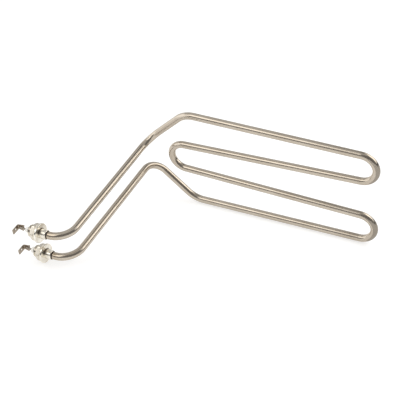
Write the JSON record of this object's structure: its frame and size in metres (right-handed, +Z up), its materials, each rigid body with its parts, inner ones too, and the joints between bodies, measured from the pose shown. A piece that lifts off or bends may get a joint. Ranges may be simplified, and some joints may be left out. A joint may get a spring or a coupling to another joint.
{
  "type": "tubular heating element",
  "caption": "Bent stainless sheathed heating element: serpentine loop on long legs, with threaded bushings, nuts, ceramic beads and flat terminals.",
  "frame": {"origin": "on the floor that the element rests on, under the middle of its bounding box", "axes": "+X along the runs, away from the terminals; -Y along the legs towards the terminals, 12 degrees off level; +Z up"},
  "size_m": [0.3442, 0.214, 0.1291],
  "materials": {
    "annealed_stainless": "bright annealed, warm tint",
    "magnesia": "compacted powder",
    "resistance_alloy": "oxidised wire",
    "pin_steel": "plain drawn",
    "nickel_plate": "turned and nickel plated",
    "nut_plate": "nickel plated",
    "braze_alloy": "flux darkened",
    "seal_fibre": "matte",
    "seal_resin": "cast resin",
    "bead_ceramic": "unglazed steatite",
    "tab_steel": "heat tinted"
  },
  "bodies": {
    "root": {"braze_ring_lower": "braze_alloy", "braze_ring_upper": "braze_alloy", "bushing_lower": "nickel_plate", "bushing_upper": "nickel_plate", "ceramic_bead_lower": "bead_ceramic", "ceramic_bead_upper": "bead_ceramic", "cold_pin_lower": "pin_steel", "cold_pin_upper": "pin_steel", "end_seal_lower": "seal_resin", "end_seal_upper": "seal_resin", "magnesia_filling": "magnesia", "nut_lower": "nut_plate", "nut_upper": "nut_plate", "resistance_coil": "resistance_alloy", "sealing_ring_lower": "seal_fibre", "sealing_ring_upper": "seal_fibre", "sheath_tube": "annealed_stainless", "tab_terminal_lower": "tab_steel", "tab_terminal_upper": "tab_steel"}
  },
  "joints": []
}
